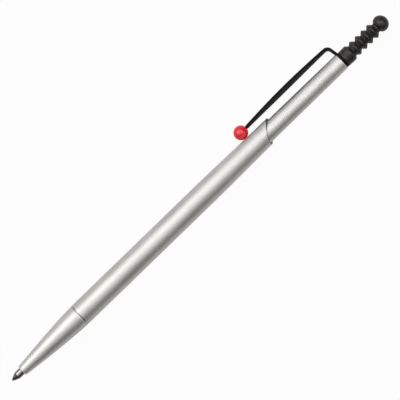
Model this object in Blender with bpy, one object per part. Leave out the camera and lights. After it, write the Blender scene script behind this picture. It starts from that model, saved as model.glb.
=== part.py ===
"""A slim twist-action ballpoint pen, lying on its barrel and on the ball of its clip.

The pen lies along X, with the writing point towards -X and the ribbed knob towards +X. Z is up, the
table is z = 0, and the clip points to +Y and a little down. Half a turn of the upper barrel draws the
refill back into the nose. Stations along the pen are counted from the writing point.
"""

import math

import bmesh
import bpy
from mathutils import Matrix

MM = 0.001

# Facets. A multiple of four puts a flat facet square to each side and to the table.
BODY_STEPS = 32
SMALL_STEPS = 20
CURVE_POINTS = 8
WELD = 0.00001 * MM

# Gaps between pieces that are pressed together, run in each other, or meet end to end
PRESS_GAP = 0.04 * MM
RUN_GAP = 0.07 * MM
FACE_GAP = 0.06 * MM
STROKE_GAP = 0.3 * MM
CUT_OVERRUN = 0.5 * MM

# Nose cone
POINT_REACH = 3.65 * MM
NOSE_LENGTH = 21.3 * MM
NOSE_FRONT_D = 3.04 * MM
NOSE_END_D = 6.48 * MM
NOSE_EDGE = 0.16 * MM
NOSE_CURVE_SHARE = 1.38
NOSE_GUIDE_LENGTH = 2.7 * MM
NOSE_FLARE = 0.35 * MM
SPIGOT_LENGTH = 5.6 * MM
SPIGOT_D = 4.16 * MM
UNDERCUT_LENGTH = 1.0 * MM
UNDERCUT_DEPTH = 0.12 * MM
WASHER_THICKNESS = 0.12 * MM
WASHER_INSET = 0.03 * MM

# Lower barrel
BARREL_D = 6.5 * MM
BARREL_SEAM_D = 5.96 * MM
BARREL_BORE_D = 5.1 * MM
BARREL_EDGE = 0.05 * MM
TAPER_LENGTH = 25.78 * MM
SEAM_DROP = 4.25 * MM
SEAM_TURN = math.radians(14)
THREAD_BUSH_INSET = 0.3 * MM
THREAD_BUSH_LENGTH = 5.2 * MM

# Upper barrel
UPPER_SHOWN = 24.47 * MM
UPPER_OVERLAP = 5.68 * MM
UPPER_D = 4.9 * MM
UPPER_END_D = 4.78 * MM
UPPER_BORE_D = 4.0 * MM
UPPER_EDGE = 0.12 * MM
NECK_D = 4.26 * MM
NECK_BORE_D = 3.72 * MM
NECK_BORE_LENGTH = 12.0 * MM

# Bearing of the upper barrel in the lower one
BEARING_LENGTH = 5.8 * MM
THRUST_WASHER_THICKNESS = 0.3 * MM

# Twist mechanism
TWIST_RANGE = math.radians(180)
REFILL_TRAVEL = 4.2 * MM
HOUSING_LENGTH = 25.4 * MM
HOUSING_BORE_D = 4.12 * MM
SPRING_SEAT_LENGTH = 1.6 * MM
CAM_D = 3.96 * MM
CAM_BORE_D = 3.12 * MM
FLANGE_THICKNESS = 0.9 * MM
SHANK_LENGTH = 11.4 * MM
CARRIER_LENGTH = 9.1 * MM
CARRIER_GRIP = 3.55 * MM
CARRIER_FLANGE_LENGTH = 0.8 * MM
PIN_D = 0.6 * MM
PIN_SETBACK = 6.9 * MM
PIN_ROOT = 0.45 * MM
HELIX_STEPS = 20

# Return spring
SPRING_LENGTH = 4.8 * MM
SPRING_WIRE_D = 0.28 * MM
SPRING_COIL_D = 3.24 * MM
SPRING_TURNS = 6
SPRING_TURN_POINTS = 10

# Refill
REFILL_LENGTH = 67.0 * MM
REFILL_D = 2.3 * MM
REFILL_WALL = 0.25 * MM
WRITING_BALL_D = 0.7 * MM
WRITING_BALL_SHOWN = 0.44 * MM
LIP_WALL = 0.05 * MM
SOCKET_GAP = 0.02 * MM
SOCKET_DEPTH = 0.14 * MM
SOCKET_SEAT = 0.2 * MM
CONE_LENGTH = 1.6 * MM
POINT_D = 2.16 * MM
POINT_SHANK_LENGTH = 4.66 * MM
POINT_SHOULDER = 0.3 * MM
POINT_HEAD_LENGTH = 2.0 * MM
POINT_TAIL_LENGTH = 3.0 * MM
INK_WAY_D = 0.3 * MM
INK_LENGTH = 40.0 * MM

# Clip, measured out from the pen's axis
RING_THICKNESS = 0.76 * MM
RING_D = 4.5 * MM
CLIP_THICKNESS = 0.72 * MM
CLIP_BEND_R = 0.95 * MM
CLIP_ROOT_REACH = 5.39 * MM
CLIP_BOW = 0.22 * MM
CLIP_TIP_WIDTH = 1.55 * MM
CLIP_ROOT_WIDTH = 1.8 * MM
CLIP_SWELL = 1.95 * MM
LEG_LEAN = math.radians(8)
LEG_ROOT_REACH = 1.95 * MM
HINGE_REACH = 4.0 * MM
LEAF_STEPS = 18
BEND_STEPS = 6

# Ball of the clip
CLIP_BALL_D = 4.0 * MM
CLIP_BALL_SETBACK = 7.78 * MM
CLIP_BALL_CLEARANCE = 0.1 * MM
BALL_HOLE_D = 1.08 * MM
BALL_POINTS = 11
TANG_LENGTH = 1.3 * MM
TANG_WIDTH = 0.6 * MM
TANG_SHOULDER = 0.16 * MM

# End plug and rubber knob
PLUG_SHANK_D = 2.9 * MM
PLUG_SHANK_LENGTH = 8.0 * MM
BASE_D = 4.6 * MM
BASE_LENGTH = 0.89 * MM
STEM_D = 1.7 * MM
BEAD_D = 2.4 * MM
BEAD_LENGTH = 1.2 * MM
END_BUSH_LENGTH = 6.4 * MM
COLLAR_D = 4.68 * MM
COLLAR_LENGTH = 1.5 * MM
FIRST_VALLEY_D = 3.12 * MM
FIRST_VALLEY_RUN = 0.81 * MM
RIB_COUNT = 4
RIB_D = 4.4 * MM
RIB_PITCH = 2.1 * MM
RIB_CREST_SHARE = 0.47
RIB_FLAT = 0.34 * MM
VALLEY_D = 2.76 * MM
KNOB_BALL_D = 4.54 * MM
KNOB_BALL_FRONT = 1.9 * MM
KNOB_BALL_BACK = 2.14 * MM
LAST_VALLEY_RUN = 1.88 * MM

# Stations along the pen. The refill sets the place of the mechanism, and that the length of the barrel.
SHOULDER_AT = POINT_REACH + NOSE_LENGTH
WASHER_AT = SHOULDER_AT + FACE_GAP
BARREL_AT = WASHER_AT + WASHER_THICKNESS + FACE_GAP
CARRIER_AT = REFILL_LENGTH + FACE_GAP - CARRIER_GRIP
PIN_AT = CARRIER_AT + PIN_SETBACK
CAM_AT = CARRIER_AT + CARRIER_FLANGE_LENGTH + REFILL_TRAVEL + STROKE_GAP
HOUSING_AT = CARRIER_AT - FACE_GAP - SPRING_LENGTH
SPRING_SEAT_AT = HOUSING_AT - FACE_GAP - SPRING_SEAT_LENGTH
FLANGE_AT = HOUSING_AT + HOUSING_LENGTH + FACE_GAP
BEARING_AT = FLANGE_AT + FLANGE_THICKNESS + FACE_GAP
THRUST_WASHER_AT = BEARING_AT + BEARING_LENGTH + FACE_GAP
UPPER_AT = THRUST_WASHER_AT + THRUST_WASHER_THICKNESS + FACE_GAP
SEAM_AT = UPPER_AT + UPPER_OVERLAP
UPPER_END_AT = SEAM_AT + UPPER_SHOWN
RING_AT = UPPER_END_AT + FACE_GAP
BASE_AT = RING_AT + RING_THICKNESS + FACE_GAP
KNOB_AT = BASE_AT + BASE_LENGTH + FACE_GAP
RIBS_LENGTH = RIB_COUNT * RIB_PITCH
KNOB_BALL_MIDDLE = COLLAR_LENGTH + FIRST_VALLEY_RUN + RIBS_LENGTH + LAST_VALLEY_RUN
PEN_LENGTH = KNOB_AT + KNOB_BALL_MIDDLE + KNOB_BALL_BACK
POINT_AT = WRITING_BALL_SHOWN
HEAD_AT = POINT_AT + CONE_LENGTH + POINT_SHANK_LENGTH
TUBE_AT = HEAD_AT + POINT_SHOULDER + POINT_HEAD_LENGTH
CLIP_BALL_AT = SEAM_AT - CLIP_BALL_SETBACK

# Radii that several pieces share
BORE_R = BARREL_BORE_D / 2
PRESSED_R = BORE_R - PRESS_GAP
REFILL_WAY_R = REFILL_D / 2 + RUN_GAP + FACE_GAP
CARRIER_R = CAM_BORE_D / 2 - RUN_GAP
BALL_HOLE_R = BALL_HOLE_D / 2


def barrel_radius(station):
    """Outer radius of the lower barrel: straight, then an easy taper to the seam."""
    share = min(1, max(0, 1 - (SEAM_AT - station) / TAPER_LENGTH))
    eased = share * share * (3 - 2 * share)
    return (BARREL_D + (BARREL_SEAM_D - BARREL_D) * eased) / 2


# How the pen lies: on a facet of the barrel and on the ball of the clip
CLIP_BALL_REACH = barrel_radius(CLIP_BALL_AT) + CLIP_BALL_CLEARANCE + CLIP_BALL_D / 2
AXIS_HEIGHT = BARREL_D / 2 * math.cos(math.pi / BODY_STEPS)
CLIP_DIP = math.asin((AXIS_HEIGHT - CLIP_BALL_D / 2) / CLIP_BALL_REACH)
FAR_SIDE = CLIP_BALL_REACH * math.cos(CLIP_DIP) + CLIP_BALL_D / 2
AXIS_SIDE = (AXIS_HEIGHT - FAR_SIDE) / 2

# Where the parts of the clip's centre line meet
LEG_FOOT_AT = RING_AT + RING_THICKNESS / 2
BEND_REACH = CLIP_ROOT_REACH - CLIP_BEND_R
BEND_TURN = math.pi / 2 - LEG_LEAN
BEND_END_REACH = BEND_REACH + CLIP_BEND_R * math.cos(BEND_TURN)
BEND_END_AT = LEG_FOOT_AT - (BEND_END_REACH - LEG_ROOT_REACH) * math.tan(LEG_LEAN)
BEND_AT = BEND_END_AT - CLIP_BEND_R * math.sin(BEND_TURN)
HINGE_AT = LEG_FOOT_AT - (HINGE_REACH - LEG_ROOT_REACH) * math.tan(LEG_LEAN)
TANG_AT = CLIP_BALL_AT + CLIP_BALL_D / 2
LEAF_AT = TANG_AT + TANG_SHOULDER


def clear_scene():
    for thing in list(bpy.data.objects):
        bpy.data.objects.remove(thing)


def finish(name, colour, roughness, metallic=0):
    material = bpy.data.materials.new(name)
    material.use_nodes = True
    shader = material.node_tree.nodes["Principled BSDF"]
    shader.inputs["Base Color"].default_value = (*colour, 1)
    shader.inputs["Roughness"].default_value = roughness
    shader.inputs["Metallic"].default_value = metallic
    return material


def satin_silver(name):
    return finish(name, (0.66, 0.65, 0.64), 0.38, 1)


def steel(name):
    return finish(name, (0.62, 0.62, 0.61), 0.25, 1)


def brass(name):
    return finish(name, (0.71, 0.53, 0.25), 0.35, 1)


def black_paint(name):
    return finish(name, (0.02, 0.02, 0.022), 0.4)


def black_rubber(name):
    return finish(name, (0.028, 0.027, 0.028), 0.75)


def white_acetal(name):
    return finish(name, (0.8, 0.8, 0.78), 0.45)


def red_gloss(name):
    return finish(name, (0.78, 0.012, 0.03), 0.12)


def black_ink(name):
    return finish(name, (0.01, 0.01, 0.012), 0.3)


def empty(name, parent=None, place=(0, 0, 0), turn=0):
    """A joint frame or a group, at a place in its parent's frame and turned about X."""
    frame = bpy.data.objects.new(name, None)
    frame.parent = parent
    frame.location = place
    frame.rotation_euler.x = turn
    bpy.context.scene.collection.objects.link(frame)
    return frame


def from_bmesh(name, mesh, parent, place, material=None):
    data = bpy.data.meshes.new(name)
    mesh.to_mesh(data)
    mesh.free()
    data.shade_smooth()
    data.set_sharp_from_angle(angle=math.radians(30))
    piece = bpy.data.objects.new(name, data)
    piece.parent = parent
    piece.location = place
    bpy.context.scene.collection.objects.link(piece)
    if material:
        data.materials.append(material(name))
    else:
        piece.hide_render = True
        piece.display_type = "WIRE"
    return piece


def turned_mesh(outline, steps):
    """A solid turned about X from (distance along, radius) points. It has a facet facing -Z."""
    mesh = bmesh.new()
    points = [mesh.verts.new((along, 0, -radius)) for along, radius in outline]
    is_ring = all(radius > 0 for _, radius in outline)
    follows = points[1:] + points[:1] if is_ring else points[1:]
    edges = [mesh.edges.new(ends) for ends in zip(points, follows)]
    bmesh.ops.spin(
        mesh, geom=points + edges, cent=(0, 0, 0), axis=(1, 0, 0), dvec=(0, 0, 0),
        angle=2 * math.pi, steps=steps, use_merge=True,
    )
    bmesh.ops.remove_doubles(mesh, verts=mesh.verts, dist=WELD)
    bmesh.ops.recalc_face_normals(mesh, faces=mesh.faces)
    half_facet = Matrix.Rotation(math.pi / steps, 3, "X")
    bmesh.ops.rotate(mesh, verts=mesh.verts, cent=(0, 0, 0), matrix=half_facet)
    return mesh


def turned(name, outline, parent, at, material, steps=BODY_STEPS):
    mesh = turned_mesh(outline, steps)
    return from_bmesh(name, mesh, parent, (at, 0, 0), material)


def tube(length, bore_r, outer_r):
    return [(0, bore_r), (length, bore_r), (length, outer_r), (0, outer_r)]


def arc(radius, start, end, points=CURVE_POINTS):
    """Points of a round stretch about the origin. Angles are counted from +X towards the outside."""
    turns = [start + (end - start) * i / (points - 1) for i in range(points)]
    return [(radius * math.cos(turn), radius * math.sin(turn)) for turn in turns]


def boolean(piece, other, operation="DIFFERENCE"):
    cut = piece.modifiers.new(operation.title(), "BOOLEAN")
    cut.operation = operation
    cut.object = other
    cut.solver = "EXACT"


def make_nose(nose):
    """The cone that screws into the lower barrel, and the thin steel washer behind its shoulder."""
    end_r = NOSE_END_D / 2
    drop = end_r - NOSE_FRONT_D / 2
    run = NOSE_LENGTH - NOSE_EDGE
    curve = []
    for i in range(CURVE_POINTS + 1):
        share = i / CURVE_POINTS
        curve.append((NOSE_LENGTH - run * share, end_r - drop * share**NOSE_CURVE_SHARE))
    guide_r = POINT_D / 2 + RUN_GAP + PRESS_GAP
    spigot_end = NOSE_LENGTH + SPIGOT_LENGTH
    spigot_r = SPIGOT_D / 2
    undercut_end = NOSE_LENGTH + UNDERCUT_LENGTH
    outline = [
        (0, guide_r),
        (NOSE_GUIDE_LENGTH, guide_r),
        (NOSE_GUIDE_LENGTH + NOSE_FLARE, REFILL_WAY_R),
        (spigot_end, REFILL_WAY_R),
        (spigot_end, spigot_r - UNDERCUT_DEPTH),
        (spigot_end - UNDERCUT_DEPTH, spigot_r),
        (undercut_end, spigot_r),
        (undercut_end, spigot_r - UNDERCUT_DEPTH),
        (NOSE_LENGTH, spigot_r - UNDERCUT_DEPTH),
        *curve,
        (0, NOSE_FRONT_D / 2 - NOSE_EDGE),
    ]
    turned("nose_cone", outline, nose, POINT_REACH, satin_silver)
    washer = tube(WASHER_THICKNESS, spigot_r + RUN_GAP, end_r - WASHER_INSET)
    turned("nose_washer", washer, nose, WASHER_AT, steel)


def make_lower_barrel(pen):
    """The tube that the hand holds, cut off at a slant where the upper barrel comes out of it.

    The barrels stand a little turned to each other, so the long side of the cut lies below the clip.
    """
    overlong = SEAM_AT + CUT_OVERRUN
    taper_at = SEAM_AT - TAPER_LENGTH
    stations = [taper_at + (overlong - taper_at) * i / CURVE_POINTS for i in range(CURVE_POINTS + 1)]
    taper = [(station - BARREL_AT, barrel_radius(station)) for station in reversed(stations)]
    front_r = BARREL_D / 2
    outline = [
        (0, BORE_R),
        (overlong - BARREL_AT, BORE_R),
        *taper,
        (BARREL_EDGE, front_r),
        (0, front_r - BARREL_EDGE),
    ]
    mesh = turned_mesh(outline, BODY_STEPS)
    slant = math.atan2(SEAM_DROP, BARREL_SEAM_D)
    turn = Matrix.Rotation(-CLIP_DIP - SEAM_TURN, 3, "X")
    across = turn @ Matrix.Rotation(-slant, 3, "Z")
    long_side = turn.col[1] * (BARREL_SEAM_D / 2)
    long_side.x = SEAM_AT - BARREL_AT
    bmesh.ops.bisect_plane(
        mesh, geom=mesh.verts[:] + mesh.edges[:] + mesh.faces[:], dist=WELD,
        plane_co=long_side, plane_no=across.col[0], clear_outer=True,
    )
    rims = [edge for edge in mesh.edges if edge.is_boundary]
    bmesh.ops.bridge_loops(mesh, edges=rims)
    bmesh.ops.recalc_face_normals(mesh, faces=mesh.faces)
    from_bmesh("lower_barrel", mesh, pen, (BARREL_AT, 0, 0), satin_silver)
    bush = tube(THREAD_BUSH_LENGTH, SPIGOT_D / 2 + RUN_GAP, PRESSED_R)
    turned("thread_bush", bush, pen, BARREL_AT + THREAD_BUSH_INSET, brass)
    bearing = tube(BEARING_LENGTH, NECK_D / 2 + RUN_GAP, PRESSED_R)
    turned("twist_bearing", bearing, pen, BEARING_AT, white_acetal)


def make_housing(pen):
    """The fixed tube of the mechanism. Its straight slot keeps the drive pin from turning."""
    outline = tube(HOUSING_LENGTH, HOUSING_BORE_D / 2, PRESSED_R)
    housing = turned("mechanism_housing", outline, pen, HOUSING_AT, brass)
    width = PIN_D + 2 * RUN_GAP
    mesh = bmesh.new()
    bmesh.ops.create_cube(mesh, size=1)
    bmesh.ops.scale(mesh, verts=mesh.verts, vec=(REFILL_TRAVEL + width, width, BORE_R))
    middle = PIN_AT + REFILL_TRAVEL / 2
    slot = from_bmesh("straight_slot_cutter", mesh, pen, (middle, 0, BORE_R))
    boolean(housing, slot)
    seat = tube(SPRING_SEAT_LENGTH, REFILL_WAY_R, PRESSED_R)
    turned("spring_seat", seat, pen, SPRING_SEAT_AT, brass)


def make_cam_spindle(twist):
    """The turning half of the mechanism: a tube with a helical slot, a flange and a driven shank."""
    cam_r = CAM_D / 2
    bore_r = CAM_BORE_D / 2
    flange = FLANGE_AT - CAM_AT
    shank = flange + FLANGE_THICKNESS
    shank_r = NECK_BORE_D / 2 - PRESS_GAP
    bore_depth = CARRIER_AT + CARRIER_LENGTH + REFILL_TRAVEL + STROKE_GAP - CAM_AT
    outline = [
        (bore_depth, 0),
        (bore_depth, bore_r),
        (0, bore_r),
        (0, cam_r),
        (flange, cam_r),
        (flange, BORE_R - RUN_GAP),
        (shank, BORE_R - RUN_GAP),
        (shank, shank_r),
        (shank + SHANK_LENGTH, shank_r),
        (shank + SHANK_LENGTH, 0),
    ]
    spindle = turned("cam_spindle", outline, twist, CAM_AT, white_acetal)
    boolean(spindle, helical_cutter(twist, bore_r, cam_r))


def helical_cutter(twist, bore_r, cam_r):
    """A block swept along the drive pin's helix, from the top at rest and back round as it rises."""
    width = PIN_D + 2 * RUN_GAP
    lead = REFILL_TRAVEL / TWIST_RANGE
    half_run = width / 2 / math.cos(math.atan(lead / bore_r))
    end_turn = width / 2 / bore_r
    low = bore_r - CUT_OVERRUN / 2
    high = cam_r + CUT_OVERRUN
    mesh = bmesh.new()
    corners = [(-half_run, low), (half_run, low), (half_run, high), (-half_run, high)]
    face = mesh.faces.new([mesh.verts.new((along, 0, reach)) for along, reach in corners])
    sweep = TWIST_RANGE + 2 * end_turn
    start = Matrix.Rotation(end_turn, 3, "X")
    bmesh.ops.rotate(mesh, verts=mesh.verts, cent=(0, 0, 0), matrix=start)
    bmesh.ops.translate(mesh, verts=mesh.verts, vec=(-lead * end_turn, 0, 0))
    bmesh.ops.spin(
        mesh, geom=[face], cent=(0, 0, 0), axis=(1, 0, 0), angle=-sweep,
        dvec=(lead * sweep / HELIX_STEPS, 0, 0), steps=HELIX_STEPS, use_merge=False,
    )
    bmesh.ops.recalc_face_normals(mesh, faces=mesh.faces)
    return from_bmesh("helical_slot_cutter", mesh, twist, (PIN_AT, 0, 0))


def make_carrier(refill):
    """The slider that grips the refill's end, with the steel pin that the helical slot drives."""
    bore_r = REFILL_D / 2 + PRESS_GAP
    outline = [
        (CARRIER_GRIP, 0),
        (CARRIER_GRIP, bore_r),
        (0, bore_r),
        (0, HOUSING_BORE_D / 2 - RUN_GAP),
        (CARRIER_FLANGE_LENGTH, HOUSING_BORE_D / 2 - RUN_GAP),
        (CARRIER_FLANGE_LENGTH, CARRIER_R),
        (CARRIER_LENGTH, CARRIER_R),
        (CARRIER_LENGTH, 0),
    ]
    carrier = turned("refill_carrier", outline, refill, CARRIER_AT, white_acetal)
    pin_top = BORE_R - RUN_GAP
    hole = upright_rod(PIN_D / 2 + PRESS_GAP, PIN_ROOT, pin_top)
    boolean(carrier, from_bmesh("pin_hole_cutter", hole, refill, (PIN_AT, 0, 0)))
    pin = upright_rod(PIN_D / 2, PIN_ROOT + FACE_GAP, pin_top)
    from_bmesh("drive_pin", pin, refill, (PIN_AT, 0, 0), steel)


def upright_rod(radius, low, high):
    mesh = bmesh.new()
    bmesh.ops.create_cone(
        mesh, cap_ends=True, segments=SMALL_STEPS, radius1=radius, radius2=radius, depth=high - low
    )
    bmesh.ops.translate(mesh, verts=mesh.verts, vec=(0, 0, (low + high) / 2))
    return mesh


def make_spring(pen):
    """The return spring round the refill, between its seat and the carrier."""
    curve = bpy.data.curves.new("return_spring", "CURVE")
    curve.dimensions = "3D"
    curve.bevel_depth = SPRING_WIRE_D / 2
    curve.bevel_resolution = 1
    curve.use_fill_caps = True
    wire = curve.splines.new("POLY")
    count = SPRING_TURNS * SPRING_TURN_POINTS
    wire.points.add(count)
    run = SPRING_LENGTH - SPRING_WIRE_D
    for i, point in enumerate(wire.points):
        turn = 2 * math.pi * i / SPRING_TURN_POINTS
        across = SPRING_COIL_D / 2 * math.cos(turn)
        up = SPRING_COIL_D / 2 * math.sin(turn)
        point.co = (SPRING_WIRE_D / 2 + run * i / count, across, up, 1)
    spring = bpy.data.objects.new("return_spring", curve)
    spring.parent = pen
    spring.location = (HOUSING_AT, 0, 0)
    curve.materials.append(steel("return_spring"))
    bpy.context.scene.collection.objects.link(spring)


def make_refill(refill):
    """The refill: a metal point that holds the writing ball, and a tube of ink."""
    ball_r = WRITING_BALL_D / 2
    point_r = POINT_D / 2
    socket_r = ball_r + SOCKET_GAP
    way_r = INK_WAY_D / 2
    refill_r = REFILL_D / 2
    tube_bore_r = refill_r - REFILL_WALL
    head = HEAD_AT - POINT_AT
    tail = TUBE_AT - POINT_AT
    tail_r = tube_bore_r - PRESS_GAP
    point = [
        (0, socket_r),
        (SOCKET_DEPTH, socket_r),
        (SOCKET_DEPTH + SOCKET_SEAT, way_r),
        (tail + POINT_TAIL_LENGTH, way_r),
        (tail + POINT_TAIL_LENGTH, tail_r),
        (tail - FACE_GAP, tail_r),
        (tail - FACE_GAP, refill_r),
        (head + POINT_SHOULDER, refill_r),
        (head, point_r),
        (CONE_LENGTH, point_r),
        (0, socket_r + LIP_WALL),
    ]
    turned("refill_point", point, refill, POINT_AT, steel, SMALL_STEPS)
    casing = tube(REFILL_LENGTH - TUBE_AT, tube_bore_r, refill_r)
    turned("refill_tube", casing, refill, TUBE_AT, brass, SMALL_STEPS)
    ink_at = TUBE_AT + POINT_TAIL_LENGTH + FACE_GAP
    ink = [(0, 0), (0, tail_r), (INK_LENGTH, tail_r), (INK_LENGTH, 0)]
    turned("ink_column", ink, refill, ink_at, black_ink, SMALL_STEPS)
    ball = [(-ball_r, 0), *arc(ball_r, math.pi, 0)[1:-1], (ball_r, 0)]
    turned("writing_ball", ball, refill, ball_r, steel, SMALL_STEPS)


def make_upper_barrel(twist):
    """The slimmer tube that turns in the lower barrel, and the washer that its shoulder runs on."""
    neck = UPPER_AT - BEARING_AT
    end = UPPER_END_AT - BEARING_AT
    outline = [
        (0, NECK_BORE_D / 2),
        (NECK_BORE_LENGTH, NECK_BORE_D / 2),
        (NECK_BORE_LENGTH, UPPER_BORE_D / 2),
        (end, UPPER_BORE_D / 2),
        (end, UPPER_END_D / 2 - UPPER_EDGE),
        (end - UPPER_EDGE, UPPER_END_D / 2),
        (SEAM_AT - BEARING_AT, UPPER_D / 2),
        (neck, UPPER_D / 2),
        (neck, NECK_D / 2),
        (0, NECK_D / 2),
    ]
    turned("upper_barrel", outline, twist, BEARING_AT, satin_silver)
    washer = tube(THRUST_WASHER_THICKNESS, NECK_D / 2 + RUN_GAP, UPPER_D / 2)
    turned("thrust_washer", washer, twist, THRUST_WASHER_AT, black_rubber)


def make_end_plug(twist):
    """The plug that clamps the clip's ring to the barrel, the bush that holds it, and the knob."""
    shank_r = PLUG_SHANK_D / 2
    stem_r = STEM_D / 2
    bead_r = BEAD_D / 2
    through = BASE_AT - RING_AT
    front = -PLUG_SHANK_LENGTH
    bead_end = through + BASE_LENGTH + KNOB_BALL_MIDDLE + BEAD_LENGTH / 2
    outline = [
        (front, 0),
        (front, shank_r),
        (through, shank_r),
        (through, BASE_D / 2),
        (through + BASE_LENGTH, BASE_D / 2),
        (through + BASE_LENGTH, stem_r),
        (bead_end - BEAD_LENGTH, stem_r),
        (bead_end - BEAD_LENGTH, bead_r),
        (bead_end, bead_r),
        (bead_end, 0),
    ]
    turned("end_plug", outline, twist, RING_AT, black_paint)
    bush = tube(END_BUSH_LENGTH, shank_r + PRESS_GAP, UPPER_BORE_D / 2 - PRESS_GAP)
    turned("end_bush", bush, twist, UPPER_END_AT - END_BUSH_LENGTH, brass)
    pocket_end = bead_end + RING_AT + FACE_GAP - KNOB_AT
    make_knob(twist, stem_r + PRESS_GAP, bead_r + PRESS_GAP, pocket_end)


def make_knob(twist, bore_r, pocket_r, pocket_end):
    """The rubber knob: a collar, ribs of a V section and a ball, moulded over the plug's stem."""
    pocket_at = pocket_end - BEAD_LENGTH - 2 * FACE_GAP
    ribs_at = COLLAR_LENGTH + FIRST_VALLEY_RUN
    half_flat = RIB_FLAT / 2
    outline = [
        (pocket_end, 0),
        (pocket_end, pocket_r),
        (pocket_at, pocket_r),
        (pocket_at, bore_r),
        (0, bore_r),
        (0, COLLAR_D / 2),
        (COLLAR_LENGTH, COLLAR_D / 2),
    ]
    for i in range(RIB_COUNT):
        valley = ribs_at + i * RIB_PITCH
        valley_r = FIRST_VALLEY_D / 2 if i == 0 else VALLEY_D / 2
        crest = valley + RIB_PITCH * RIB_CREST_SHARE
        outline += [(valley, valley_r), (crest - half_flat, RIB_D / 2), (crest + half_flat, RIB_D / 2)]
    outline.append((ribs_at + RIBS_LENGTH, VALLEY_D / 2))
    start = math.pi - math.asin(VALLEY_D / KNOB_BALL_D)
    for along, radius in arc(KNOB_BALL_D / 2, start, 0, BALL_POINTS)[:-1]:
        swell = KNOB_BALL_FRONT if along < 0 else KNOB_BALL_BACK
        outline.append((KNOB_BALL_MIDDLE + along * swell * 2 / KNOB_BALL_D, radius))
    outline.append((KNOB_BALL_MIDDLE + KNOB_BALL_BACK, 0))
    turned("rubber_knob", outline, twist, KNOB_AT, black_rubber)


def clip_leaf(mesh, sections):
    """A flat strip through (station, reach, width) sections, as an open sheet."""
    edge = None
    for station, reach, width in sections:
        if edge is None:
            ends = [mesh.verts.new((station, reach, side * width / 2)) for side in (-1, 1)]
            edge = mesh.edges.new(ends)
            continue
        grown = bmesh.ops.extrude_edge_only(mesh, edges=[edge])["geom"]
        for vert in (item for item in grown if isinstance(item, bmesh.types.BMVert)):
            vert.co = (station, reach, math.copysign(width / 2, vert.co.z))
        edge = next(item for item in grown if isinstance(item, bmesh.types.BMEdge))
    bmesh.ops.recalc_face_normals(mesh, faces=mesh.faces)


def thicken(piece):
    solid = piece.modifiers.new("Solidify", "SOLIDIFY")
    solid.thickness = CLIP_THICKNESS
    solid.offset = 0
    solid.use_even_offset = True


def make_clip(clip_frame, clip_joint):
    """The clip: a ring under the end plug with a short leg, and the sprung leaf that carries on."""
    lean = math.tan(LEG_LEAN)
    half_gap = PRESS_GAP / 2 * math.cos(LEG_LEAN)
    foot = (LEG_FOOT_AT, LEG_ROOT_REACH, CLIP_ROOT_WIDTH)
    below = HINGE_REACH - half_gap
    above = HINGE_REACH + half_gap
    top = (LEG_FOOT_AT - (below - LEG_ROOT_REACH) * lean, below, CLIP_ROOT_WIDTH)
    mesh = bmesh.new()
    clip_leaf(mesh, [foot, top])
    leg = from_bmesh("clip_leg_former", mesh, clip_frame, (0, 0, 0))
    thicken(leg)
    ring_outline = tube(RING_THICKNESS, PLUG_SHANK_D / 2 + PRESS_GAP, RING_D / 2)
    ring = turned("clip_ring", ring_outline, clip_frame, RING_AT, black_paint)
    boolean(ring, leg, "UNION")

    sections = [(LEG_FOOT_AT - (above - LEG_ROOT_REACH) * lean, above, CLIP_ROOT_WIDTH)]
    for i in range(BEND_STEPS + 1):
        turn = BEND_TURN * (1 - i / BEND_STEPS)
        station = BEND_AT + CLIP_BEND_R * math.sin(turn)
        sections.append((station, BEND_REACH + CLIP_BEND_R * math.cos(turn), CLIP_ROOT_WIDTH))
    for i in range(1, LEAF_STEPS + 1):
        share = 1 - i / LEAF_STEPS
        station = LEAF_AT + (BEND_AT - LEAF_AT) * share
        straight = CLIP_BALL_REACH + (CLIP_ROOT_REACH - CLIP_BALL_REACH) * share
        width = CLIP_TIP_WIDTH + (CLIP_ROOT_WIDTH - CLIP_TIP_WIDTH) * share
        swell = CLIP_SWELL * math.sin(math.pi * share)
        sections.append((station, straight + CLIP_BOW * 4 * share * (1 - share), width + swell))
    sections.append((TANG_AT, CLIP_BALL_REACH, TANG_WIDTH))
    sections.append((TANG_AT - TANG_LENGTH, CLIP_BALL_REACH, TANG_WIDTH))
    sections = [(station - HINGE_AT, reach - HINGE_REACH, width) for station, reach, width in sections]
    mesh = bmesh.new()
    clip_leaf(mesh, sections)
    thicken(from_bmesh("clip_arm", mesh, clip_joint, (0, 0, 0), black_paint))


def make_clip_ball(clip_joint):
    """The red ball on the clip's end, bored for the clip's tang."""
    ball_r = CLIP_BALL_D / 2
    mouth = math.asin(BALL_HOLE_R / ball_r)
    bore_end = ball_r - TANG_LENGTH - FACE_GAP
    outline = [(bore_end, 0), (bore_end, BALL_HOLE_R)]
    outline += arc(ball_r, mouth, math.pi, BALL_POINTS)[:-1]
    outline.append((-ball_r, 0))
    place = (CLIP_BALL_AT - HINGE_AT, CLIP_BALL_REACH - HINGE_REACH, 0)
    mesh = turned_mesh(outline, BODY_STEPS)
    from_bmesh("clip_ball", mesh, clip_joint, place, red_gloss)


def main():
    clear_scene()
    middle = -PEN_LENGTH / 2
    pen = empty("pen", place=(middle, AXIS_SIDE, AXIS_HEIGHT))
    nose = empty("nose_frame", pen)
    refill = empty("refill_frame", pen)
    twist = empty("twist_frame", pen)
    clip_frame = empty("clip_frame", twist, turn=-CLIP_DIP)
    clip_joint = empty("clip_hinge_frame", clip_frame, place=(HINGE_AT, HINGE_REACH, 0))
    make_nose(nose)
    make_lower_barrel(pen)
    make_housing(pen)
    make_spring(pen)
    make_refill(refill)
    make_carrier(refill)
    make_cam_spindle(twist)
    make_upper_barrel(twist)
    make_end_plug(twist)
    make_clip(clip_frame, clip_joint)
    make_clip_ball(clip_joint)


main()
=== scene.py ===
"""The looks of a slim twist-action ballpoint pen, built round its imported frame.

The shapes are drawn in the pen's own frame, in millimetres: X is the station counted from the writing
point and the pen's axis is the line y = z = 0. The last step of each piece puts it in the frame, in metres.
"""

import math

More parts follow.
